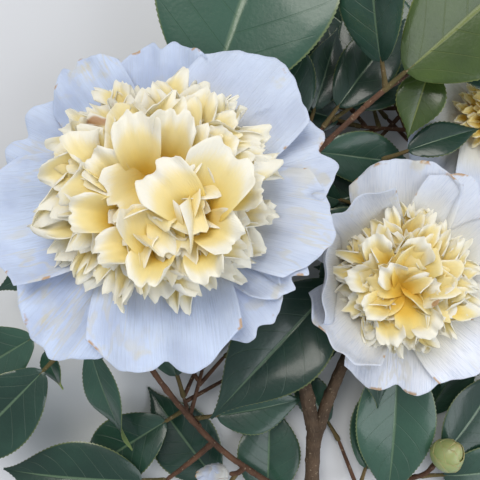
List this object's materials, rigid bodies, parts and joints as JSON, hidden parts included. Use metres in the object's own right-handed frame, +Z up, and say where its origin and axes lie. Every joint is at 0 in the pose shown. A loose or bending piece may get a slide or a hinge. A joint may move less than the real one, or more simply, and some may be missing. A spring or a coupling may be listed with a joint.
{
  "type": "camellia branch in flower",
  "caption": "Cut camellia branch in flower: forked woody stem, glossy toothed leaves, double blooms with ruffled yellow hearts, and round buds. It lies on its side with the blooms facing up.",
  "frame": {"origin": "on the surface that the branch lies on, under the middle of its box", "axes": "+Z up, out of the blooms' faces; +Y from the cut end of the stem towards the tips"},
  "size_m": [0.2394, 0.2582, 0.1024],
  "materials": {
    "bark": "matt brown bark",
    "petal": "soft white petals, yellow in the heart",
    "bud": "satin green bud scales",
    "leaf": "glossy dark green leaf"
  },
  "bodies": {
    "root": {"main_stem": "bark", "bough_middle": "bark", "bough_right": "bark", "bough_upper": "bark", "bough_left": "bark", "bough_far": "bark", "bloom_large": "petal", "bloom_right": "petal", "bloom_far": "petal", "bud_green": "bud", "bud_pale": "bud", "bud_white": "bud", "foliage_top": "leaf", "foliage_back": "leaf", "foliage_upper_right": "leaf", "foliage_between": "leaf", "foliage_far": "leaf", "foliage_right": "leaf", "foliage_lower_right": "leaf", "foliage_lower": "leaf", "foliage_low": "leaf", "foliage_middle": "leaf", "foliage_left": "leaf", "foliage_behind": "leaf", "foliage_base": "leaf", "foliage_edge": "leaf", "foliage_front": "leaf", "foliage_spur": "leaf"}
  },
  "joints": []
}
